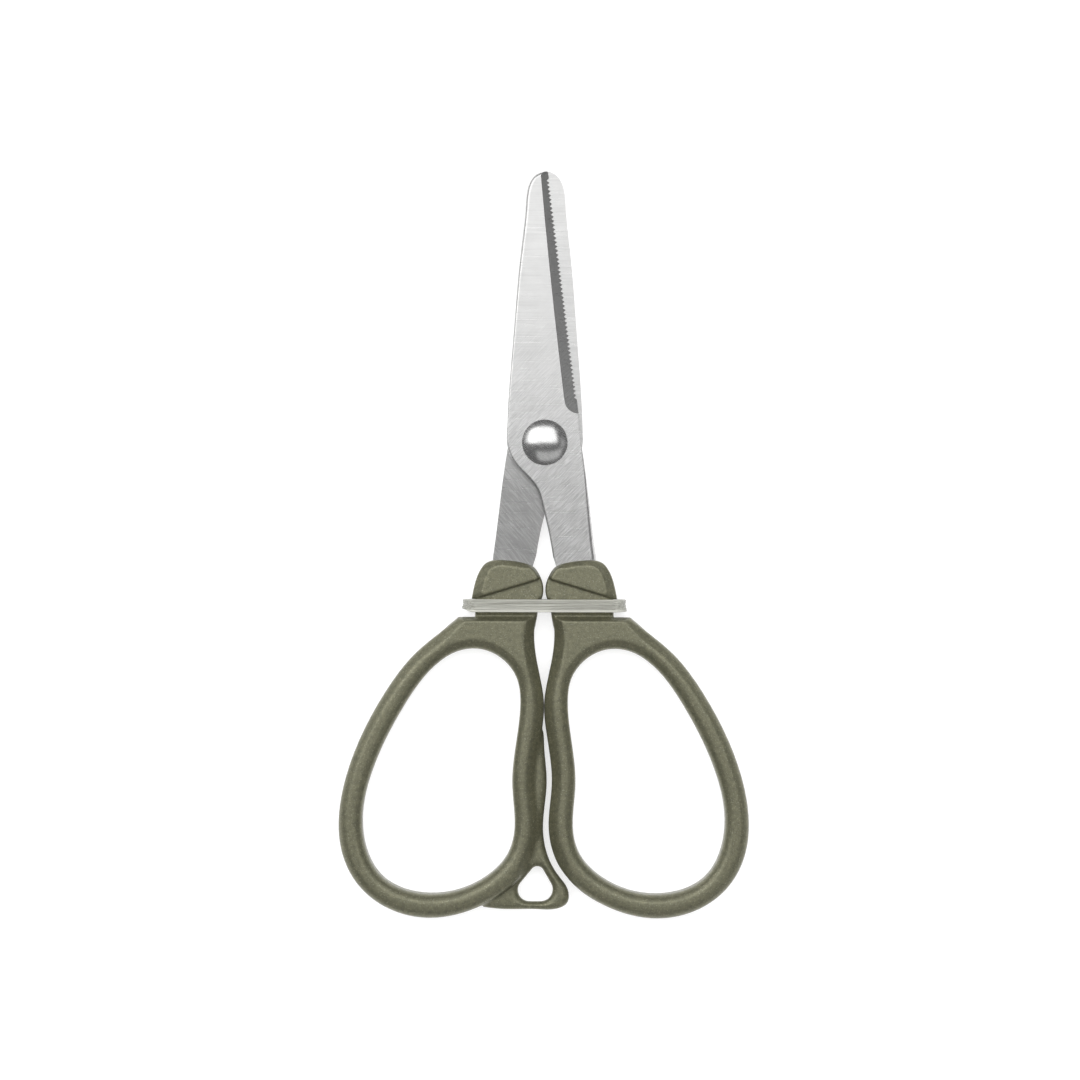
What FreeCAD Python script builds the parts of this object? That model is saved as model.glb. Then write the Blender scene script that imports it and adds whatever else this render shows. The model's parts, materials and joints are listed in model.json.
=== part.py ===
import FreeCAD, Part
import math
import os

# Small straight-bladed scissors with moulded finger rings, lying closed on their back.
#
# Outlines are drawn in millimetres from the pivot: x to the right, y towards the blade tips and z up,
# with z = 0 on the plane where the two blades meet. place() then moves each piece into the part's own
# frame, whose origin is the centre of the base. The front blade and the right handle are one half of
# the scissors, and the back blade and the left handle are the other.

# Overall
TIP_Y = 41.8                 # the blade tips, above the pivot
RING_BOTTOM_Y = -73.2        # the lowest point of the finger rings
HANDLE_HALF_THICKNESS = 2.8  # the handles are symmetrical about the blades' meeting plane

# Blades
BLADE_THICKNESS = 1.3        # at the pivot, shank and tang
TIP_THICKNESS = 0.8
TAPER_START_Y = 2.0          # from here to the tip the blade gets thinner, along an arc
BLADE_GAP = 0.06             # between the two blades' inner faces
TIP_ROUNDING = 0.68          # the outer face's rounding along the back shrinks evenly from the tip
WAIST_ROUNDING = 0.28        # to the handle
HEEL_ROUNDING = 0.12         # and along the shank's outer side it grows from the heel
SHANK_ROUNDING = 1.0         # to the handle
CUTTING_HEEL = (5.2, 4.4)
CUTTING_TIP = (0.35, 41.76)
BEVEL_SLOPE = 0.618          # rise of the ground bevel for each millimetre from the cutting edge
EDGE_LAND = 0.1              # height of the cutting edge's flat
TOOTH_PITCH = 0.66
TOOTH_DEPTH = 0.42
PLAIN_HEEL = 2.3             # length of cutting edge without teeth, at the heel
PLAIN_TIP = 0.4

# Pivot
RIVET_RADIUS = 1.8
RIVET_CLEARANCE = 0.05       # radial, in the front blade, which turns on the rivet
HEAD_RADIUS = 3.5
HEAD_HEIGHT = 1.45
HEAD_RIM = 0.15              # straight side of the head under its dome
HEAD_CLEARANCE = 0.05        # between the head and the front blade
WASHER_RADIUS = 3.4
WASHER_THICKNESS = 0.4
WASHER_ROUNDING = 0.15
TAIL_RADIUS = 2.6
TAIL_HEIGHT = 0.8

# Handles
RING_ROUNDING = 1.2
CAP_ROUNDING = 0.7
TAB_ROUNDING = 0.5
NECK_HALF_THICKNESS = 1.9    # the groove that the keeper band lies in
CAP_BOTTOM_Y = -24.1
SHOULDER_Y = -27.0           # where the neck ends and the finger ring begins
TAB_HALF_THICKNESS = 1.2
RINGS_APART = 0.08           # half the gap between the handles where they meet

# Keeper band
BAND_HALF_WIDTH = 12.6
BAND_HALF_HEIGHT = 2.6
BAND_WALL = 0.55
BAND_TOP_Y = -24.15
BAND_BOTTOM_Y = -26.15
BAND_CORNER = 2.4

# Sizes that only have to reach past the blades, for what is cut from them
CLEAR_X = 12.0
CLEAR_Z = 5.0

# Front blade: round the tip and down the back, then in under the rivet to the shank's inner edge
BLADE_BACK = [
    CUTTING_TIP, (-0.75, 41.68), (-1.75, 41.1), (-2.45, 40.1), (-2.88, 38.7), (-3.1, 36.3),
    (-3.45, 32.5), (-4.1, 26.6), (-4.82, 17.4), (-5.5, 8.6), (-5.85, 1.2),
]
BLADE_WAIST = [
    BLADE_BACK[-1], (-5.84, -0.1), (-5.45, -1.7), (-4.3, -3.6), (-2.43, -5.5), (-1.08, -7.3),
    (-0.26, -10.0), (0.45, -12.9), (1.3, -17.5),
]
SHANK_OUTER = [CUTTING_HEEL, (5.5, 0.6), (6.04, -2.9), (6.75, -8.2), (7.35, -13.3), (7.9, -17.5)]
TANG = [SHANK_OUTER[-1], (8.2, -21.5), (7.2, -30.5), (3.8, -30.5), (2.6, -21.5), BLADE_WAIST[-1]]
BEVEL_END = [(3.0, 6.6), (3.6, 5.1), (5.1, 4.45)]  # an arc, where the bevel runs out at the heel

# Right handle, from the shoulder down the side that faces the other ring, and round to the shoulder
RING_OUTER = [
    (1.35, SHOULDER_Y), (1.6, -30.5), (0.98, -34.8), (RINGS_APART, -40.4), (0.45, -44.7),
    (1.29, -52.7), (0.82, -59.2), (2.04, -64.4), (4.7, -68.1), (9.33, -71.2), (17.5, RING_BOTTOM_Y),
    (23.9, -71.75), (28.57, -68.1), (31.1, -62.9), (31.56, -58.4), (30.9, -53.3), (28.43, -45.9),
    (24.47, -38.5), (19.68, -32.35), (16.0, -29.27), (13.2, SHOULDER_Y),
]
FINGER_HOLE = [
    (11.9, -31.83), (6.15, -33.6), (4.25, -36.2), (3.65, -40.0), (4.07, -44.7), (4.86, -52.7),
    (4.47, -59.0), (5.43, -63.2), (8.83, -66.9), (17.5, -69.53), (24.84, -66.9), (27.9, -59.2),
    (26.5, -50.85), (21.8, -41.0), (15.86, -33.6),
]
NECK = [(0.55, -22.4), (1.55, -28.5), (10.6, -28.5), (10.6, -22.4), (0.55, -22.4)]
CAP = [
    (0.5, CAP_BOTTOM_Y), (0.24, -22.3), (0.85, -20.4), (1.62, -19.33), (3.1, -18.6), (6.1, -18.13),
    (7.9, -18.17), (9.02, -18.6), (9.85, -19.6), (10.72, -21.8), (11.2, CAP_BOTTOM_Y),
]

# Lanyard tab of the left handle: its free edge, and the hole as corners with their radii
TAB_EDGE = [
    (-1.5, -41.0), (-0.25, -43.6), (0.07, -47.2), (0.45, -52.1), (-0.1, -59.5), (0.92, -64.4),
    (2.42, -66.9), (3.75, -68.9), (3.65, -70.9), (2.1, -71.8), (-1.0, -71.9), (-6.0, -71.9),
    (-11.0, -71.2),
]
TAB_ROOT = [TAB_EDGE[-1], (-10.5, -70.2), (-6.5, -68.0), (-3.0, -62.0), (-2.6, -50.0), TAB_EDGE[0]]
TAB_HOLE = [(-0.82, -64.5, 1.05), (-5.9, -70.7, 1.75), (2.75, -70.7, 1.85)]


def vector(x, y, z=0.0):
    return FreeCAD.Vector(x, y, z)


def spline(points, closed=False):
    curve = Part.BSplineCurve()
    curve.interpolate(Points=[vector(*point) for point in points], PeriodicFlag=closed)
    return curve.toShape()


def polyline(points):
    """Straight edges from point to point; a point is x and y, or a vector."""
    corners = [point if isinstance(point, FreeCAD.Vector) else vector(*point) for point in points]
    return Part.makePolygon(corners).Edges


def rounded_polygon(corners):
    """A closed outline of straight sides whose corners, given as x, y and radius, are arcs."""
    edges = []
    ends = []
    for index, (x, y, radius) in enumerate(corners):
        corner = vector(x, y)
        before = vector(*corners[index - 1][:2]) - corner
        after = vector(*corners[(index + 1) % len(corners)][:2]) - corner
        before.normalize()
        after.normalize()
        reach = radius / math.tan(before.getAngle(after) / 2)
        middle = before + after
        middle.normalize()
        centre_distance = math.hypot(radius, reach)
        start = corner + before * reach
        end = corner + after * reach
        edges.append(Part.Arc(start, corner + middle * (centre_distance - radius), end).toShape())
        ends.append((start, end))
    for index, (start, _) in enumerate(ends):
        edges.append(Part.makeLine(ends[index - 1][1], start))
    return edges


def plate(edges, low, high):
    """A flat piece with the outline made by the edges, from height low to height high."""
    face = Part.Face(Part.Wire(Part.__sortEdges__(edges)))
    face.translate(vector(0, 0, low))
    return face.extrude(vector(0, 0, high - low))


def prism(points, place_point, run):
    """A solid with a flat outline, whose points place_point puts in space, pushed along run."""
    corners = [place_point(*point) for point in points]
    return Part.Face(Part.makePolygon(corners + corners[:1])).extrude(run)


def rounded(solid, radius, chosen):
    """The solid with the edges that chosen(centre, edge) picks rounded to the radius."""
    return solid.makeFillet(radius, [edge for edge in solid.Edges if chosen(edge.CenterOfMass, edge)])


def is_level(edge):
    box = edge.BoundBox
    return box.ZLength < 0.01


# Blades

def cutting_edge(toothed):
    """The straight edge from heel to tip, plain or cut into small teeth."""
    heel = vector(*CUTTING_HEEL)
    run = vector(*CUTTING_TIP) - heel
    along = vector(*run).normalize()
    inward = vector(-along.y, along.x)
    crest = heel + along * PLAIN_HEEL
    points = [heel]
    if toothed:
        teeth = int((run.Length - PLAIN_HEEL - PLAIN_TIP) / TOOTH_PITCH)
        for _ in range(teeth):
            points += [crest, crest + along * (TOOTH_PITCH / 2) + inward * TOOTH_DEPTH]
            crest = crest + along * TOOTH_PITCH
        points.append(crest)
    points.append(heel + run)
    return Part.makePolygon(points).Edges


def bevel_cutter():
    """What the grinding of the bevel takes away: all above a sloping plane, up to a round end."""
    heel = vector(*CUTTING_HEEL)
    along = (vector(*CUTTING_TIP) - heel).normalize()
    inward = vector(-along.y, along.x)
    edge_z = BLADE_GAP / 2 + EDGE_LAND
    inside = 3.5
    outside = -1.0

    def across(distance, height):
        return heel - along * 5.0 + inward * distance + vector(0, 0, height)

    section = [
        (outside, edge_z + outside * BEVEL_SLOPE),
        (inside, edge_z + inside * BEVEL_SLOPE),
        (inside, CLEAR_Z),
        (outside, CLEAR_Z),
    ]
    wedge = prism(section, across, along * (TIP_Y + 10.0))
    side, low, corner = (vector(*point) for point in BEVEL_END)
    left, right, top = -CLEAR_X, CLEAR_X, TIP_Y + 5.0
    reach = polyline([corner, (right, corner.y), (right, top), (left, top), (left, side.y), side])
    return wedge.common(plate(reach + [Part.Arc(side, low, corner).toShape()], 0.0, CLEAR_Z))


def taper_cutter():
    """What lies above the outer face, which is flat at the pivot and bends down to the thin tip."""
    outer_z = BLADE_GAP / 2 + BLADE_THICKNESS
    drop = BLADE_THICKNESS - TIP_THICKNESS
    run = TIP_Y - TAPER_START_Y
    past = 1.1  # the arc goes on past the tip

    def on_arc(share):
        return vector(-CLEAR_X, TAPER_START_Y + share * run, outer_z - share ** 2 * drop)

    arc = Part.Arc(on_arc(0.0), on_arc(past / 2), on_arc(past)).toShape()
    start = on_arc(0.0)
    end = on_arc(past)
    sides = Part.makePolygon([end, vector(end.x, end.y, CLEAR_Z), vector(start.x, start.y, CLEAR_Z), start])
    return Part.Face(Part.Wire([arc] + sides.Edges)).extrude(vector(2 * CLEAR_X, 0, 0))


def blade(toothed, bore_radius):
    """The front blade with its tang. Without teeth and turned over, it is the back blade."""
    inner_z = BLADE_GAP / 2
    back = spline(BLADE_BACK)
    waist = spline(BLADE_WAIST)
    shank = spline(SHANK_OUTER)
    outline = [back, waist, shank] + polyline(TANG) + cutting_edge(toothed)
    shape = plate(outline, inner_z, inner_z + BLADE_THICKNESS).cut(taper_cutter())

    def outer_edge(near):
        """The edge of the outer face that runs above one of the outline's splines."""
        def distance(edge):
            return (edge.CenterOfMass - near.CenterOfMass - vector(0, 0, inner_z + BLADE_THICKNESS)).Length
        return min(shape.Edges, key=distance)

    shape = shape.makeFillet(SHANK_ROUNDING, HEEL_ROUNDING, [outer_edge(shank)])
    shape = shape.makeFillet(WAIST_ROUNDING, TIP_ROUNDING, [outer_edge(back)])  # goes on along the waist
    shape = shape.cut(bevel_cutter())
    bore = Part.makeCylinder(bore_radius, 4 * BLADE_THICKNESS, vector(0, 0, -BLADE_THICKNESS))
    return shape.cut(bore)


def turned_over(shape):
    turned = shape.copy()
    turned.rotate(vector(0, 0, 0), vector(0, 1, 0), 180)
    return turned


# Handles

def finger_ring():
    shoulder = polyline([RING_OUTER[-1], RING_OUTER[0]])
    body = plate([spline(RING_OUTER)] + shoulder, -HANDLE_HALF_THICKNESS, HANDLE_HALF_THICKNESS)
    hole = plate([spline(FINGER_HOLE, closed=True)], -HANDLE_HALF_THICKNESS, HANDLE_HALF_THICKNESS)
    return rounded(body.cut(hole), RING_ROUNDING, lambda centre, edge: is_level(edge))


def neck():
    return plate(polyline(NECK), -NECK_HALF_THICKNESS, NECK_HALF_THICKNESS)


def cap():
    outline = [spline(CAP)] + polyline([CAP[-1], CAP[0]])
    body = plate(outline, -HANDLE_HALF_THICKNESS, HANDLE_HALF_THICKNESS)
    return rounded(body, CAP_ROUNDING, lambda centre, edge: is_level(edge))


def handle():
    return finger_ring().fuse([neck(), cap()]).removeSplitter()


def lanyard_tab():
    outline = [spline(TAB_EDGE)] + polyline(TAB_ROOT)
    tab = plate(outline, -TAB_HALF_THICKNESS, TAB_HALF_THICKNESS)
    tab = rounded(tab, TAB_ROUNDING, lambda centre, edge: is_level(edge) and edge.Length > 40.0)
    hole = plate(rounded_polygon(TAB_HOLE), -TAB_HALF_THICKNESS, TAB_HALF_THICKNESS)
    return tab.cut(hole)


def mirrored(shape):
    return shape.mirror(vector(0, 0, 0), vector(1, 0, 0))


# Pivot and band

def turned(profile_edges):
    """A round piece about the pivot, from the half section that the edges bound."""
    face = Part.Face(Part.Wire(Part.__sortEdges__(profile_edges)))
    return face.revolve(vector(0, 0, 0), vector(0, 0, 1), 360)


def dome(rim_radius, rim_z, top_z):
    """The arc of a dome's half section, from its rim to its top on the axis."""
    height = abs(top_z - rim_z)
    sphere = (rim_radius ** 2 + height ** 2) / (2 * height)
    half_angle = math.asin(rim_radius / sphere) / 2
    direction = math.copysign(1.0, top_z - rim_z)
    middle_z = top_z - direction * sphere * (1 - math.cos(half_angle))
    middle = vector(sphere * math.sin(half_angle), 0, middle_z)
    return Part.Arc(vector(rim_radius, 0, rim_z), middle, vector(0, 0, top_z)).toShape()


def pivot_rivet():
    outer_z = BLADE_GAP / 2 + BLADE_THICKNESS
    head_z = outer_z + HEAD_CLEARANCE
    rim_z = head_z + HEAD_RIM
    tail_z = -(outer_z + WASHER_THICKNESS)
    top_z = head_z + HEAD_HEIGHT
    end_z = tail_z - TAIL_HEIGHT
    side = Part.makePolygon([
        vector(HEAD_RADIUS, 0, rim_z), vector(HEAD_RADIUS, 0, head_z), vector(RIVET_RADIUS, 0, head_z),
        vector(RIVET_RADIUS, 0, tail_z), vector(TAIL_RADIUS, 0, tail_z),
    ])
    axis = Part.makeLine(vector(0, 0, end_z), vector(0, 0, top_z))
    head = dome(HEAD_RADIUS, rim_z, top_z)
    tail = dome(TAIL_RADIUS, tail_z, end_z)
    return turned([head, axis, tail] + side.Edges)


def rivet_washer():
    top_z = -(BLADE_GAP / 2 + BLADE_THICKNESS)
    base = vector(0, 0, top_z - WASHER_THICKNESS)
    disc = Part.makeCylinder(WASHER_RADIUS, WASHER_THICKNESS, base)
    disc = rounded(disc, WASHER_ROUNDING, lambda centre, edge: centre.z < base.z + 0.01)
    return disc.cut(Part.makeCylinder(RIVET_RADIUS, WASHER_THICKNESS, base))


def keeper_band():
    length = BAND_TOP_Y - BAND_BOTTOM_Y

    def block(half_width, half_height, corner):
        box = Part.makeBox(
            2 * half_width, length, 2 * half_height, vector(-half_width, BAND_BOTTOM_Y, -half_height)
        )
        return rounded(box, corner, lambda centre, edge: edge.BoundBox.YLength > length - 0.01)

    outer = block(BAND_HALF_WIDTH, BAND_HALF_HEIGHT, BAND_CORNER)
    inner = block(BAND_HALF_WIDTH - BAND_WALL, BAND_HALF_HEIGHT - BAND_WALL, BAND_CORNER - BAND_WALL)
    return outer.cut(inner)


# The whole object

def place(shape):
    placed = shape.copy()
    placed.translate(vector(0, -(TIP_Y + RING_BOTTOM_Y) / 2, HANDLE_HALF_THICKNESS))
    return placed


def main():
    front_blade = blade(toothed=True, bore_radius=RIVET_RADIUS + RIVET_CLEARANCE)
    back_blade = turned_over(blade(toothed=False, bore_radius=RIVET_RADIUS))
    right_handle = handle()
    left_handle = mirrored(right_handle).fuse(lanyard_tab()).removeSplitter()
    pieces = {
        "front_blade": front_blade,
        "back_blade": back_blade,
        "right_handle": right_handle.cut(front_blade),
        "left_handle": left_handle.cut(back_blade),
        "pivot_rivet": pivot_rivet(),
        "rivet_washer": rivet_washer(),
        "keeper_band": keeper_band(),
    }
    os.makedirs("parts", exist_ok=True)
    for name, shape in pieces.items():
        place(shape).exportStep(f"parts/{name}.step")
        print(name, "valid" if shape.isValid() else "NOT VALID", len(shape.Solids), round(shape.Volume, 1))


main()
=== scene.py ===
import json
import math

import bmesh
import bpy
import numpy as np
import openvdb
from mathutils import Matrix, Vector


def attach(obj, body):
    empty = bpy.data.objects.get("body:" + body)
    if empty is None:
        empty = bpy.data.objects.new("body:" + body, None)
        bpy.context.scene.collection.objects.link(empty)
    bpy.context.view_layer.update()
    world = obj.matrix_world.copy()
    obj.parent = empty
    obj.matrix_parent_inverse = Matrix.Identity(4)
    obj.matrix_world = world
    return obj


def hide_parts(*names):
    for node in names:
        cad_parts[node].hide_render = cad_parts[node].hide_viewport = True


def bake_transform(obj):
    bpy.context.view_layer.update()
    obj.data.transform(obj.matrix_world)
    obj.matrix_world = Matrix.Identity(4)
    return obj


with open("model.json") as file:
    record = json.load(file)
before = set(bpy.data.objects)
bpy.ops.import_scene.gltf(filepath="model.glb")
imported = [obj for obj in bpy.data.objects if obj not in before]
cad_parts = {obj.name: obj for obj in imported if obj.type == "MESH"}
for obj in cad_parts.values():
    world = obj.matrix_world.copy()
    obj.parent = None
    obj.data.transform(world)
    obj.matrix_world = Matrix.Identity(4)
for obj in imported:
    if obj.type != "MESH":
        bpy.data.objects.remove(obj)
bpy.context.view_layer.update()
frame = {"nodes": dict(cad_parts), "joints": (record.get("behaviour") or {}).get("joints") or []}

MM = 0.001
PIVOT = Vector(frame["joints"][0]["pos_m"])

# The handles' surface, in millimetres. Places are measured from the pivot, on the right handle, and heights
# from the middle plane, which the handles are symmetrical about.
PITCH = 0.18                               # size of the cells that the surface is found in
OUTLINE_PITCH = 0.1                        # and of those that the distances from the outlines are kept in
MARGIN = 0.8                               # the cells reach this far past the outlines
HALF_CELLS = 3.2                           # and this far above and below the middle plane
REACH = 0.6                                # the cells hold distances up to this
FAR_OUTSIDE = -9.0                         # stands in for a distance where there is no outline

RING_TOP = 2.8                             # half thickness at the ring's crest and the cap's pad
RING_SLOPE = 0.8                           # rise of the ring's bevels
EDGE_HEIGHT = 1.6                          # half thickness at the ring's sides
AXIS_SLOPE = 1.15                          # of the second, steeper bevel where the two rings face each other
AXIS_EDGE = 1.3                            # and the half thickness at its edge
AXIS_SIDE = (3.0, 6.0)                     # x where that side gives way to the rest of the ring
AT_SHOULDER = (-31.0, -27.5)               # y where the ring thickens towards the shoulder
LOWER_RING = (30.0, 44.0)                  # how far below the pivot its crest gets rounder
CREST_ROUNDING = 0.9
RIM_ROUNDING = 0.5
RINGS_CLOSER = 0.075                       # the rings all but touch where they are closest

SHOULDER_Y = -27.0                         # top of the ring
SHOULDER_SLOPE = 1.7
GROOVE_TOP = 1.95                          # half thickness of the neck under the band
NECK_FOOT_Y = -28.6                        # below the band the neck falls away towards here
NECK_FALL = 0.8

CAP_BOTTOM_Y = -24.0
CAP_EDGE = 2.12                            # half thickness at the cap's sides
CAP_OUTER_SIDE = (6.5, 9.5)                # x where the cap's bevel widens
CAP_AXIS_SIDE = (1.4, 3.4)                 # x where it gets narrow and steep
STEP_START = (1.1, -21.3)                  # the pad's lower edge runs on a slant between these
STEP_END = (9.6, -23.85)
STEP_SLOPE = 4.0
FILLET = 0.35                              # where two shapes of one handle meet

# The lanyard tab, which only the left handle has
TAB_TOP = 1.2                              # half its thickness
TAB_EDGE = 0.6                             # and at its sides
TAB_LOW_X = -14.0                          # it lies right of this, on the left handle,
TAB_HIGH_Y = -39.0                         # and below this
TAB_OVERLAP = 1.6                          # how far it runs on inside the ring


# ---------------------------------------------------------------- outlines taken from the CAD handles

def section_loops(node, z):
    """The closed outlines where a CAD node's mesh is cut z mm above the pivot, in mm from the pivot."""
    mesh = frame["nodes"][node].data
    mesh.calc_loop_triangles()
    co = np.array([v.co for v in mesh.vertices]) / MM - np.array(PIVOT) / MM
    tris = co[np.array([t.vertices for t in mesh.loop_triangles])]
    above = tris[:, :, 2] > z
    tris = tris[above.any(1) & ~above.all(1)]
    segments = []
    for tri in tris:
        ends = []
        for a, b in ((0, 1), (1, 2), (2, 0)):
            if (tri[a, 2] > z) != (tri[b, 2] > z):
                share = (z - tri[a, 2]) / (tri[b, 2] - tri[a, 2])
                ends.append(tri[a, :2] + share * (tri[b, :2] - tri[a, :2]))
        segments.append(ends)
    return chained(segments)


def chained(segments):
    """Loose segments joined end to end into loops, the largest first."""
    def key(point):
        return (round(point[0] * 500), round(point[1] * 500))

    links = {}
    for start, end in segments:
        if key(start) != key(end):
            links.setdefault(key(start), {})[key(end)] = end
            links.setdefault(key(end), {})[key(start)] = start
    loops = []
    while links:
        first = next(iter(links))
        here, loop = first, []
        while here in links and links[here]:
            there, point = links[here].popitem()
            links.get(there, {}).pop(here, None)
            if not links[here]:
                del links[here]
            loop.append(point)
            here = there
        links.pop(here, None)
        if len(loop) > 8:
            loops.append(np.array(loop))
    return sorted(loops, key=lambda loop: -np.ptp(loop[:, 1]) * np.ptp(loop[:, 0]))


def signed_depth(x, y, loop):
    """Distance of each point from the outline, positive inside it."""
    a = loop
    b = np.roll(loop, -1, axis=0)
    best = np.full(x.shape, 1e9)
    inside = np.zeros(x.shape, bool)
    for (ax, ay), (bx, by) in zip(a, b):
        ex, ey = bx - ax, by - ay
        px, py = x - ax, y - ay
        t = np.clip((px * ex + py * ey) / max(ex * ex + ey * ey, 1e-12), 0, 1)
        best = np.minimum(best, (px - t * ex) ** 2 + (py - t * ey) ** 2)
        if ay != by:
            crosses = ((ay > y) != (by > y)) & (x < ax + (y - ay) / (by - ay) * ex)
            inside ^= crosses
    return np.where(inside, 1, -1) * np.sqrt(best)


# ---------------------------------------------------------------- the handles' surface

def smoothstep(value, low, high):
    """0 below low, 1 above high, and a smooth rise between them."""
    t = np.clip((value - low) / (high - low), 0, 1)
    return t * t * (3 - 2 * t)


def blended(a, b, reach):
    """The union of two fields, with a concave fillet of about the given reach."""
    h = np.clip(reach - np.abs(a - b), 0, None) / reach
    return np.minimum(a, b) - h * h * reach / 4


def rounded_meet(a, b, reach):
    """What is inside both fields, with its edge rounded over about the given reach."""
    h = np.clip(reach - np.abs(a - b), 0, None) / reach
    return np.maximum(a, b) + h * h * reach / 4


def bevelled(height, depth, edge_height, slope):
    """Below 0 under a plane that is edge_height high at the outline and rises inwards."""
    return (height - edge_height - slope * depth) / np.hypot(1, slope)


def ring_field(x, y, height, side, hole, outline):
    """The finger ring: bevels from both sides meet in a rounded crest, or in a flat top where it is wide."""
    axis_side = 1 - smoothstep(x, *AXIS_SIDE)
    down = smoothstep(-y, *LOWER_RING)
    slope = RING_SLOPE + 0.15 * down
    edge = EDGE_HEIGHT + 0.35 * smoothstep(y, *AT_SHOULDER) + 0.15 * down
    hole_edge = EDGE_HEIGHT + 0.1 + 0.15 * down
    crest = rounded_meet(
        bevelled(height, side, edge, slope), bevelled(height, hole, hole_edge, slope),
        CREST_ROUNDING + 1.0 * down,
    )
    steep = bevelled(height, side, AXIS_EDGE + 2.5 * (1 - axis_side), AXIS_SLOPE)
    top = rounded_meet(rounded_meet(crest, height - RING_TOP, 0.1), steep, 0.6)
    shoulder = bevelled(height, SHOULDER_Y - y, GROOVE_TOP, SHOULDER_SLOPE)
    top = rounded_meet(top, shoulder, 0.15)
    return rounded_meet(top, -np.minimum(outline, hole), RIM_ROUNDING - 0.3 * axis_side)


def cap_field(x, y, height, outline):
    """The cap over the tang, with a raised pad that ends in a slanting step."""
    outer_side = smoothstep(x, *CAP_OUTER_SIDE)
    axis_side = 1 - smoothstep(x, *CAP_AXIS_SIDE)
    edge = CAP_EDGE - 0.4 * outer_side + 0.2 * axis_side
    rim = bevelled(height, outline, edge, RING_SLOPE + 0.7 * axis_side)
    slant = (STEP_END[1] - STEP_START[1]) / (STEP_END[0] - STEP_START[0])
    above_step = (y - STEP_START[1] - slant * (x - STEP_START[0])) / math.hypot(1, slant)
    step = bevelled(height, np.minimum(above_step, y - CAP_BOTTOM_Y), GROOVE_TOP - 0.2, STEP_SLOPE)
    top = rounded_meet(rounded_meet(rim, height - RING_TOP, 0.12), step, 0.15)
    return rounded_meet(top, -outline, 0.3 + 0.6 * axis_side)


def handle_field(x, y, height, outline, hole, side):
    """Below 0 inside a right handle; height is above or below the middle plane, and always positive."""
    outline = outline + RINGS_CLOSER * (1 - smoothstep(x, 2.0, 4.0))
    fall = bevelled(height, y - NECK_FOOT_Y, 0.0, NECK_FALL)
    neck = rounded_meet(rounded_meet(height - GROOVE_TOP, fall, 0.1), -outline, RIM_ROUNDING)
    ring = blended(ring_field(x, y, height, side, hole, outline), neck, FILLET)
    return np.minimum(ring, cap_field(x, y, height, outline))


class Columns:
    """Distances from the outlines on a flat grid over the handle, looked up between its points."""

    def __init__(self, low, high, pitch, loops):
        self.low = low
        self.pitch = pitch
        self.count = [int(math.ceil((h - l) / pitch)) + 1 for l, h in zip(low, high)]
        x, y = np.meshgrid(*(low[i] + pitch * np.arange(self.count[i]) for i in (0, 1)), indexing="ij")
        self.values = [signed_depth(x, y, loop) for loop in loops]

    def at(self, x, y):
        fx = np.clip((x - self.low[0]) / self.pitch, 0, self.count[0] - 1.001)
        fy = np.clip((y - self.low[1]) / self.pitch, 0, self.count[1] - 1.001)
        ix, iy = fx.astype(int), fy.astype(int)
        tx, ty = fx - ix, fy - iy
        return [
            v[ix, iy] * (1 - tx) * (1 - ty) + v[ix + 1, iy] * tx * (1 - ty)
            + v[ix, iy + 1] * (1 - tx) * ty + v[ix + 1, iy + 1] * tx * ty
            for v in self.values
        ]


def surface(field, low, high):
    """The closed surface where field(x, y, z) is 0, as vertices in mm from the pivot and faces."""
    counts = [int(math.ceil((h - l) / PITCH)) + 1 for l, h in zip(low, high)]
    axes = [l + PITCH * np.arange(n) for l, n in zip(low, counts)]
    x, y, z = np.meshgrid(*axes, indexing="ij")
    values = np.clip(field(x, y, z), -REACH, REACH)
    grid = openvdb.FloatGrid(REACH)
    grid.copyFromArray(values)
    points, quads = grid.convertToQuads(isovalue=0)
    points = np.array(points, float) * PITCH + np.array(low)
    step = 0.02
    for _ in range(2):  # two Newton steps bring the vertices onto the exact surface
        here = field(*points.T)
        slope = np.stack([
            (field(*(points + offset).T) - field(*(points - offset).T)) / (2 * step)
            for offset in step * np.eye(3)
        ], axis=1)
        move = -here[:, None] * slope / np.maximum((slope ** 2).sum(1), 0.05)[:, None]
        points += np.clip(move, -PITCH / 3, PITCH / 3)
    return points, np.array(quads)


def mesh_object(name, points, faces, material):
    """An object from points in mm from the pivot."""
    mesh = bpy.data.meshes.new(name)
    placed = points * MM + np.array(PIVOT)
    mesh.from_pydata([tuple(p) for p in placed], [], [tuple(int(i) for i in f) for f in faces])
    bm = bmesh.new()
    bm.from_mesh(mesh)
    bmesh.ops.recalc_face_normals(bm, faces=bm.faces)
    bm.to_mesh(mesh)
    bm.free()
    mesh.polygons.foreach_set("use_smooth", [True] * len(mesh.polygons))
    mesh.materials.append(material)
    obj = bpy.data.objects.new(name, mesh)
    bpy.context.scene.collection.objects.link(obj)
    return obj


def without_neck(outline):
    """The ring's own outline: its sides are carried on above the shoulder in place of the neck and cap."""
    below = outline[:, 1] < SHOULDER_Y - 0.25
    first = int(np.flatnonzero(below & ~np.roll(below, 1))[0])
    run = np.roll(outline, -first, axis=0)[:below.sum()]

    def carried_on(end, inner):
        way = end - inner
        return end + way / np.hypot(*way) * 6.0

    return np.vstack([run, carried_on(run[-1], run[-4]), carried_on(run[0], run[3])])


def right_handle_columns():
    outline, hole = section_loops("right_handle", -0.5)[:2]
    low = outline.min(0) - MARGIN
    high = outline.max(0) + MARGIN
    return Columns(low, high, OUTLINE_PITCH, [outline, hole, without_neck(outline)]), low, high


def build_right_handle(material):
    columns, low, high = right_handle_columns()

    def field(x, y, z):
        outline, hole, side = columns.at(x, y)
        return handle_field(x, y, np.abs(z), outline, -hole, side)

    points, faces = surface(field, (*low, -HALF_CELLS), (*high, HALF_CELLS))
    return mesh_object("handle_right", points, faces, material)


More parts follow.
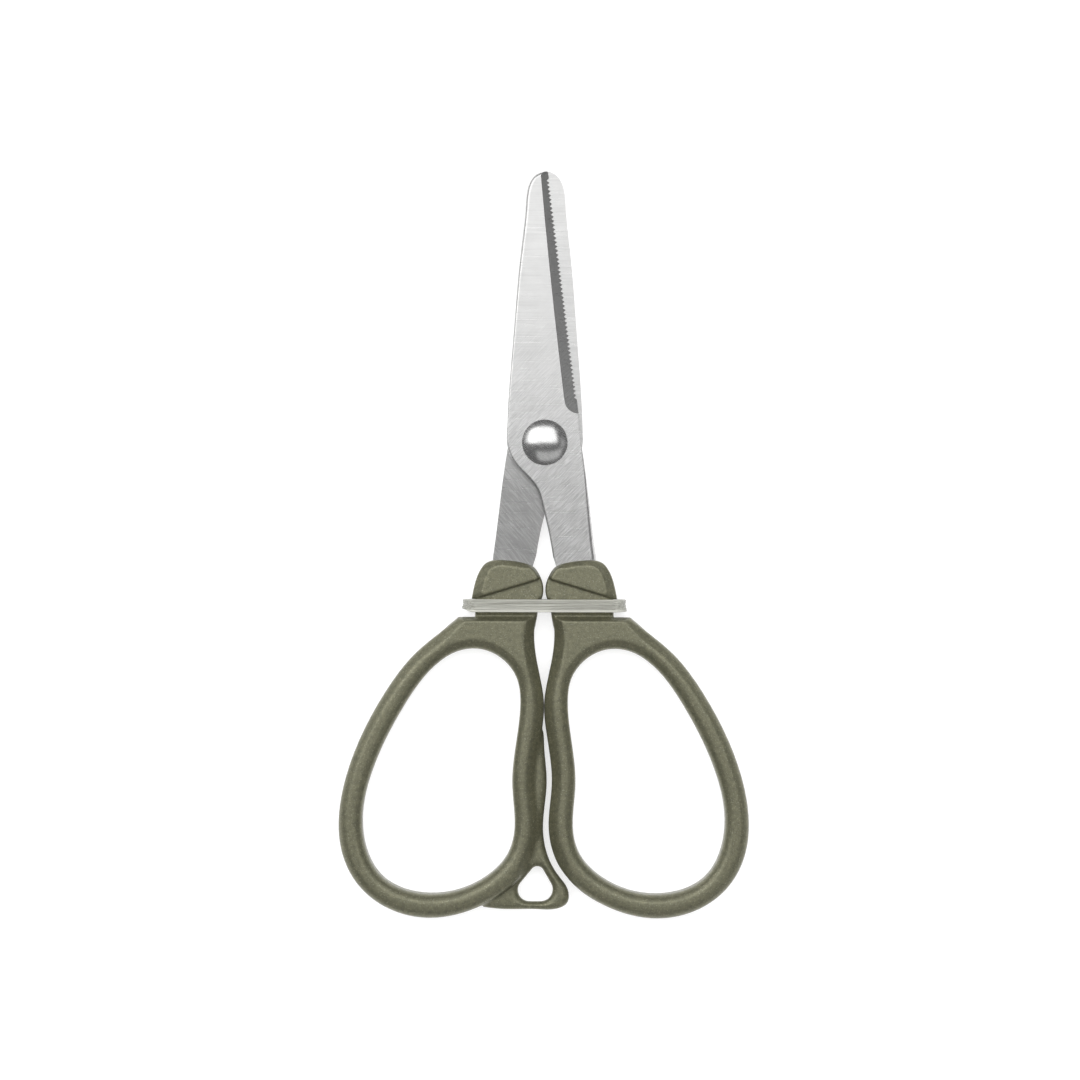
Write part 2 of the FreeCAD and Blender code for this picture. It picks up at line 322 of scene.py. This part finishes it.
def build_left_handle(material):
    """The right handle mirrored, with the lanyard tab."""
    ring_columns, low, high = right_handle_columns()
    whole, _, tab_hole = section_loops("left_handle", 0.5)[:3]
    lowest = (-high[0], low[1])
    highest = (whole[:, 0].max() + MARGIN, high[1])
    tab_columns = Columns((TAB_LOW_X, low[1]), (highest[0], TAB_HIGH_Y), OUTLINE_PITCH, [whole, tab_hole])

    def field(x, y, z):
        height = np.abs(z)
        outline, hole, side = ring_columns.at(-x, y)
        outline = np.where(-x < low[0] + OUTLINE_PITCH, FAR_OUTSIDE, outline)
        ring = handle_field(-x, y, height, outline, -hole, side)
        edge, bore = tab_columns.at(x, y)
        within = np.minimum(edge, -bore)
        plate = rounded_meet(height - TAB_TOP, bevelled(height, within, TAB_EDGE, RING_SLOPE), 0.3)
        plate = rounded_meet(plate, -within, 0.3)
        plate = np.maximum(plate, FILLET - (edge - np.clip(outline, -3, 9)))
        plate = np.maximum(plate, outline - TAB_OVERLAP)
        plate = np.where((x < TAB_LOW_X + 0.2) | (y > TAB_HIGH_Y - 0.2), REACH, plate)
        return blended(ring, plate, FILLET)

    points, faces = surface(field, (*lowest, -HALF_CELLS), (*highest, HALF_CELLS))
    return mesh_object("handle_left", points, faces, material)


# ---------------------------------------------------------------- the elastic band

# In millimetres from the pivot and from the middle plane
BAND_HALF_WIDTH = 12.6
BAND_HALF_HEIGHT = 2.6
BAND_CORNER = 2.4
BAND_WALL = 0.5
BAND_TOP_Y = -24.15
BAND_BOTTOM_Y = -26.15
BAND_FLARE = 0.15                          # its lower edge stands out this much at the left and right
BAND_NARROWING_LEFT = 0.5                  # and is this much higher at the left end
BAND_NARROWING_RIGHT = 0.1
BAND_RIBS = 26.0                           # how closely its shallow ribs follow each other
BAND_FLAT_SHARE = 0.42                     # from its middle to the start of its rounded edge
GAP_HALF = 0.9                             # half the gap between the necks that the band crosses


def band_path():
    """Points and outward directions round the band, in x and z."""
    flat = BAND_HALF_WIDTH - BAND_CORNER
    across = np.concatenate([
        np.linspace(-flat, -GAP_HALF, 24, endpoint=False),
        np.linspace(-GAP_HALF, GAP_HALF, 48, endpoint=False),
        np.linspace(GAP_HALF, flat, 25),
    ])
    side = BAND_HALF_HEIGHT - BAND_CORNER
    path = [((x, BAND_HALF_HEIGHT), (0, 1)) for x in across]
    for centre, first in ((side, 90), (-side, 0)):
        for angle in np.radians(np.linspace(first, first - 90, 13)[1:]):
            out = (math.cos(angle), math.sin(angle))
            path.append(((flat + BAND_CORNER * out[0], centre + BAND_CORNER * out[1]), out))
    path.pop()  # the other half starts at this point
    return path + [((-x, -z), (-a, -b)) for (x, z), (a, b) in path]


def band_section():
    """A strip with soft edges, as pairs: share of its width from -0.5 to 0.5, and height over its middle."""
    half = BAND_WALL / 2
    flat = BAND_FLAT_SHARE
    section = []
    for share in np.linspace(-flat, flat, 25):
        rim = (abs(share) / flat) ** 4
        section.append((share, half * (0.7 + 0.45 * rim + 0.12 * math.cos(share * BAND_RIBS))))
    for angle in np.radians((60, 25, -25, -60)):
        section.append((flat + (0.5 - flat) * math.cos(angle), half * math.sin(angle)))
    for share in np.linspace(flat, -flat, 9):
        section.append((share, -half))
    for angle in np.radians((-120, -155, 155, 120)):
        section.append((-flat + (0.5 - flat) * math.cos(angle), half * math.sin(angle)))
    return section


def build_band(material):
    path = band_path()
    section = band_section()
    middle = (BAND_TOP_Y + BAND_BOTTOM_Y) / 2
    width = BAND_TOP_Y - BAND_BOTTOM_Y
    points = []
    for (x, z), (out_x, out_z) in path:
        turn = smoothstep(abs(x), 11.2, BAND_HALF_WIDTH)
        narrowing = BAND_NARROWING_LEFT if x < 0 else BAND_NARROWING_RIGHT
        for share, rise in section:
            level = rise - BAND_WALL / 2
            low = turn * smoothstep(-share, -0.2, 0.5)
            y = middle + share * width + narrowing * low
            points.append((x + out_x * level + math.copysign(BAND_FLARE * low, x), y, z + out_z * level))
    n, m = len(path), len(section)
    faces = [
        (i * m + j, i * m + (j + 1) % m, (i + 1) % n * m + (j + 1) % m, (i + 1) % n * m + j)
        for i in range(n) for j in range(m)
    ]
    return mesh_object("elastic_band", np.array(points), faces, material)


# ---------------------------------------------------------------- materials

# Pairs are the two ends of a mottling. The plastic's and the band's are display values from 0 to 255.
OLIVE = ((88, 89, 72), (117, 115, 93))
OLIVE_FLAKES = (168, 166, 146)
BAND_STREAKS = ((128, 128, 120), (190, 190, 182))
BAND_EDGE = (226, 226, 218)
# The steel's are linear.
BLADE_TINTS = ((0.55, 0.55, 0.546), (0.60, 0.60, 0.595))
GROUND_LINES = (0.40, 0.40, 0.40)
DARK_SCRATCHES = (0.30, 0.30, 0.30)
BRIGHT_SCRATCHES = (0.92, 0.92, 0.92)
FRONT_SHANK_SHADE = (0.52, 0.52, 0.516)          # painted shade: the shanks are coloured darker than the blades above the pivot, standing in for the dimmer reflection they show
BACK_SHANK_SHADE = (0.34, 0.34, 0.337)
RIVET_TINTS = ((0.66, 0.66, 0.655), (0.74, 0.74, 0.735))


class Nodes:
    """A material's node tree, with short calls for the nodes that the finishes are made of."""

    def __init__(self, name):
        self.material = bpy.data.materials.new(name)
        self.material.use_nodes = True
        self.tree = self.material.node_tree
        self.shader = self.tree.nodes["Principled BSDF"]
        self.place = self.add("ShaderNodeTexCoord").outputs["Object"]

    def add(self, kind, **settings):
        node = self.tree.nodes.new(kind)
        for key, value in settings.items():
            setattr(node, key, value)
        return node

    def link(self, output, socket):
        self.tree.links.new(output, socket)

    def put(self, socket, value):
        if isinstance(value, bpy.types.NodeSocket):
            self.link(value, socket)
        else:
            socket.default_value = value

    def math(self, operation, a, b=0.0):
        node = self.add("ShaderNodeMath", operation=operation)
        self.put(node.inputs[0], a)
        self.put(node.inputs[1], b)
        return node.outputs[0]

    def axis(self, name):
        return self.add_from(self.place, "ShaderNodeSeparateXYZ", 0).outputs[name]

    def add_from(self, output, kind, index, **settings):
        node = self.add(kind, **settings)
        self.link(output, node.inputs[index])
        return node

    def mapped(self, scale, angle=0.0):
        """The object's own coordinates in mm, turned about Z and stretched."""
        turned = self.add_from(self.place, "ShaderNodeMapping", "Vector")
        turned.inputs["Rotation"].default_value = (0, 0, math.radians(angle))
        node = self.add_from(turned.outputs[0], "ShaderNodeMapping", "Vector")
        node.inputs["Scale"].default_value = [s / MM for s in scale]
        return node.outputs[0]

    def noise(self, where, scale, detail=2.0, roughness=0.5):
        node = self.add_from(where, "ShaderNodeTexNoise", "Vector")
        node.inputs["Scale"].default_value = scale
        node.inputs["Detail"].default_value = detail
        node.inputs["Roughness"].default_value = roughness
        return node.outputs["Fac"]

    def ranged(self, value, low, high, to_low, to_high):
        node = self.add_from(value, "ShaderNodeMapRange", "Value", interpolation_type="SMOOTHSTEP")
        for name, number in zip(("From Min", "From Max", "To Min", "To Max"), (low, high, to_low, to_high)):
            node.inputs[name].default_value = number
        return node.outputs["Result"]

    def colours(self, fac, *stops):
        node = self.add_from(fac, "ShaderNodeValToRGB", "Fac")
        ramp = node.color_ramp
        while len(ramp.elements) < len(stops):
            ramp.elements.new(0.5)
        for element, (position, colour) in zip(ramp.elements, stops):
            element.position = position
            element.color = (*colour, 1)
        return node.outputs["Color"]

    def mixed(self, fac, a, b):
        node = self.add("ShaderNodeMix", data_type="RGBA")
        self.put(node.inputs[0], fac)
        self.put(node.inputs[6], a)
        self.put(node.inputs[7], b)
        return node.outputs[2]

    def bump(self, height, distance_mm, strength):
        node = self.add("ShaderNodeBump")
        node.inputs["Strength"].default_value = strength
        node.inputs["Distance"].default_value = distance_mm * MM
        self.link(height, node.inputs["Height"])
        return node.outputs["Normal"]

    def set(self, **values):
        for name, value in values.items():
            self.put(self.shader.inputs[name.replace("_", " ")], value)
        return self.material


def srgb(*channels):
    """Linear colour from 0 to 255 display values."""
    shares = [c / 255 for c in channels]
    return tuple(s / 12.92 if s <= 0.04045 else ((s + 0.055) / 1.055) ** 2.4 for s in shares)


def olive_plastic():
    n = Nodes("olive_plastic")
    plain = n.mapped((1, 1, 1))
    mottle = n.noise(plain, 1.6, 5.0, 0.75)
    fine = n.noise(plain, 5.0, 3.0, 0.7)
    flakes = n.noise(plain, 5.0, 2.0)
    colour = n.colours(mottle, (0.3, srgb(*OLIVE[0])), (0.7, srgb(*OLIVE[1])))
    colour = n.mixed(n.ranged(flakes, 0.58, 0.72, 0.0, 0.45), colour, (*srgb(*OLIVE_FLAKES), 1))
    rough = n.ranged(n.noise(plain, 1.4, 4.0, 0.6), 0.3, 0.7, 0.30, 0.42)
    grain = n.bump(fine, 0.05, 0.8)
    n.shader.inputs["Specular IOR Level"].default_value = 1.0
    n.shader.inputs["Metallic"].default_value = 0.65
    return n.set(Base_Color=colour, Roughness=rough, Normal=grain)


def blade_steel(name, rub_angle, rub_reach, rub_depth, shank_shade):
    """Ground steel with fine lines across it, and scratches at rub_angle that fade out rub_reach mm up;
    below the pivot a painted shade darkens it to shank_shade.
    """
    n = Nodes(name)
    ground = n.noise(n.mapped((0.10, 6.0, 1.0)), 1.0, 3.0, 0.6)
    rubbed = n.noise(n.mapped((0.4, 7.0, 0.5), rub_angle), 1.0, 3.0, 0.75)
    patches = n.noise(n.mapped((1, 1, 1)), 0.25, 3.0, 0.6)
    y = n.axis("Y")
    fade = n.ranged(y, PIVOT.y - 4 * MM, PIVOT.y + rub_reach * MM, 1.0, 0.0)
    scratches = n.math("MULTIPLY", n.ranged(rubbed, 0.46, 0.64, 0.0, 1.0), fade)
    # painted shade: the colour darkens from 4 mm above the pivot to 8 mm below it, reaching shank_shade on
    # the shank
    low = n.ranged(y, PIVOT.y - 8 * MM, PIVOT.y + 4 * MM, 1.0, 0.0)
    tint = n.colours(patches, (0.3, BLADE_TINTS[0]), (0.7, BLADE_TINTS[1]))
    tint = n.mixed(low, tint, (*shank_shade, 1))
    tint = n.mixed(n.ranged(ground, 0.45, 0.75, 0.0, 0.22), tint, (*GROUND_LINES, 1))
    dark = n.math("MULTIPLY", n.ranged(rubbed, 0.34, 0.48, 0.4 * rub_depth, 0.0), fade)
    tint = n.mixed(dark, tint, (*DARK_SCRATCHES, 1))
    tint = n.mixed(n.math("MULTIPLY", scratches, 0.45 * rub_depth), tint, (*BRIGHT_SCRATCHES, 1))
    rough = n.ranged(ground, 0.3, 0.7, 0.27, 0.36)
    lines = n.math("ADD", n.math("MULTIPLY", ground, 0.5), scratches)
    grain = n.bump(lines, 0.006, 0.7)
    n.shader.inputs["Metallic"].default_value = 1.0
    return n.set(Base_Color=tint, Roughness=rough, Normal=grain)


def rivet_steel():
    n = Nodes("polished_rivet_steel")
    plain = n.mapped((1, 1, 1))
    scuffs = n.noise(n.mapped((0.8, 6.0, 1.0), 35), 1.0, 4.0, 0.7)
    tint = n.colours(n.noise(plain, 0.9, 3.0), (0.3, RIVET_TINTS[0]), (0.7, RIVET_TINTS[1]))
    rough = n.ranged(scuffs, 0.35, 0.75, 0.22, 0.32)
    grain = n.bump(scuffs, 0.002, 0.4)
    n.shader.inputs["Metallic"].default_value = 1.0
    return n.set(Base_Color=tint, Roughness=rough, Normal=grain)


def band_rubber():
    n = Nodes("clear_elastic")
    streaks = n.noise(n.mapped((0.12, 5.0, 5.0)), 1.0, 4.0, 0.7)
    middle = PIVOT.y + (BAND_TOP_Y + BAND_BOTTOM_Y) / 2 * MM
    off_middle = n.math("ABSOLUTE", n.math("SUBTRACT", n.axis("Y"), middle + 0.1 * MM))
    edge = n.ranged(off_middle, 0.55 * MM, 0.95 * MM, 0.0, 0.6)
    colour = n.colours(streaks, (0.35, srgb(*BAND_STREAKS[0])), (0.65, srgb(*BAND_STREAKS[1])))
    colour = n.mixed(edge, colour, (*srgb(*BAND_EDGE), 1))
    rough = n.ranged(streaks, 0.3, 0.7, 0.28, 0.45)
    grain = n.bump(streaks, 0.02, 0.7)
    n.shader.inputs["Transmission Weight"].default_value = 0.35
    n.shader.inputs["IOR"].default_value = 1.35
    n.shader.inputs["Alpha"].default_value = 0.75
    return n.set(Base_Color=colour, Roughness=rough, Normal=grain)


# ---------------------------------------------------------------- studio

# Soft panels over the object, in metres: name, reach in x, reach in y, height, radiance
PANELS = (
    ("softbox", (-0.88, 0.53), (0.01, 0.88), 0.6, 1.5),
    ("softbox_left", (-1.5, -0.3), (0.01, 0.88), 0.59, 0.8),
    ("panel_front", (-0.4, 1.2), (-1.2, -0.35), 0.6, 0.45),
    ("panel_right", (0.9, 1.6), (-0.25, 0.25), 0.6, 0.4),
)
FILL = ("diffuse_fill", (-0.8, 0.8), (-0.6, 1.0), 1.2, 3.1)    # lights, but isn't mirrored
WORLD_STRENGTH = 0.14
FLOOR_SHADE = 0.42
FLOOR_GLOW = 0.62                          # keeps the shadow on the floor faint
FLOOR_REACH = 4.0
BACKDROP_RADIUS = 1.5
FRAME_WIDTH = 166.47 * MM                  # what the camera sees from side to side
VIEW_CENTRE = (-0.70 * MM, 0.67 * MM)
CAMERA_ROLL = 0.166                        # degrees


def overhead_panel(name, across, along, height, radiance):
    """A level soft panel that faces down; across and along are its reach in x and y, all in metres."""
    light = bpy.data.lights.new(name, "AREA")
    light.shape = "RECTANGLE"
    light.size = across[1] - across[0]
    light.size_y = along[1] - along[0]
    light.energy = radiance * math.pi * light.size * light.size_y
    obj = bpy.data.objects.new(name, light)
    obj.location = (sum(across) / 2, sum(along) / 2, height)
    obj.visible_camera = False
    bpy.context.scene.collection.objects.link(obj)
    return obj


def build_floor():
    mesh = bpy.data.meshes.new("floor")
    reach = FLOOR_REACH
    corners = [(-reach, -reach, 0), (reach, -reach, 0), (reach, reach, 0), (-reach, reach, 0)]
    mesh.from_pydata(corners, [], [(0, 1, 2, 3)])
    n = Nodes("pale_floor")
    rough = n.ranged(n.noise(n.mapped((1, 1, 1)), 0.02, 3.0), 0.3, 0.7, 0.6, 0.75)
    n.shader.inputs["Base Color"].default_value = (FLOOR_SHADE, FLOOR_SHADE, FLOOR_SHADE, 1)
    n.shader.inputs["Emission Color"].default_value = (1, 1, 1, 1)
    n.shader.inputs["Emission Strength"].default_value = FLOOR_GLOW
    mesh.materials.append(n.set(Roughness=rough))
    floor = bpy.data.objects.new("floor", mesh)
    bpy.context.scene.collection.objects.link(floor)


def build_backdrop():
    """A plain white surround for low views; only the camera sees it, so it lights nothing."""
    mesh = bpy.data.meshes.new("backdrop")
    bm = bmesh.new()
    bmesh.ops.create_uvsphere(bm, u_segments=48, v_segments=24, radius=BACKDROP_RADIUS)
    bm.to_mesh(mesh)
    bm.free()
    n = Nodes("white_backdrop")
    n.shader.inputs["Base Color"].default_value = (0, 0, 0, 1)
    n.shader.inputs["Emission Color"].default_value = (1, 1, 1, 1)
    mesh.materials.append(n.set(Emission_Strength=1.0))
    backdrop = bpy.data.objects.new("backdrop", mesh)
    bpy.context.scene.collection.objects.link(backdrop)
    backdrop.visible_diffuse = False
    backdrop.visible_glossy = False
    backdrop.visible_transmission = False
    backdrop.visible_shadow = False


def build_studio():
    scene = bpy.context.scene
    scene.view_settings.view_transform = "Standard"
    world = bpy.data.worlds.new("studio")
    scene.world = world
    world.use_nodes = True
    background = world.node_tree.nodes["Background"]
    background.inputs["Color"].default_value = (1, 1, 1, 1)
    background.inputs["Strength"].default_value = WORLD_STRENGTH
    for panel in PANELS:
        overhead_panel(*panel)
    fill = overhead_panel(*FILL)
    fill.visible_glossy = False


def build_camera():
    """Straight down, with a long lens that shows little of the object's sides."""
    camera = bpy.data.cameras.new("camera")
    camera.lens = 120
    camera.sensor_width = 36
    camera.clip_start = 0.01
    camera.clip_end = 20
    distance = FRAME_WIDTH * camera.lens / camera.sensor_width
    obj = bpy.data.objects.new("camera", camera)
    obj.location = (*VIEW_CENTRE, PIVOT.z + distance)
    obj.rotation_euler = (0, 0, math.radians(CAMERA_ROLL))
    bpy.context.scene.collection.objects.link(obj)
    bpy.context.scene.camera = obj


# ---------------------------------------------------------------- the model

def repaint(node, material):
    for slot in frame["nodes"][node].material_slots:
        slot.material = material


def main():
    plastic = olive_plastic()
    right = build_right_handle(plastic)
    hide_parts("right_handle")
    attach(right, "front_half")

    left = build_left_handle(plastic)
    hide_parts("left_handle")
    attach(left, "rear_half")

    band = build_band(band_rubber())
    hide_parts("keeper_band")
    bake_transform(band)

    repaint("front_blade", blade_steel("front_blade_steel", -45, 26, 1.0, FRONT_SHANK_SHADE))
    repaint("back_blade", blade_steel("back_blade_steel", 50, 8, 0.45, BACK_SHANK_SHADE))
    polished = rivet_steel()
    repaint("pivot_rivet", polished)
    repaint("rivet_washer", polished)

    build_floor()
    build_backdrop()
    build_studio()
    build_camera()


main()
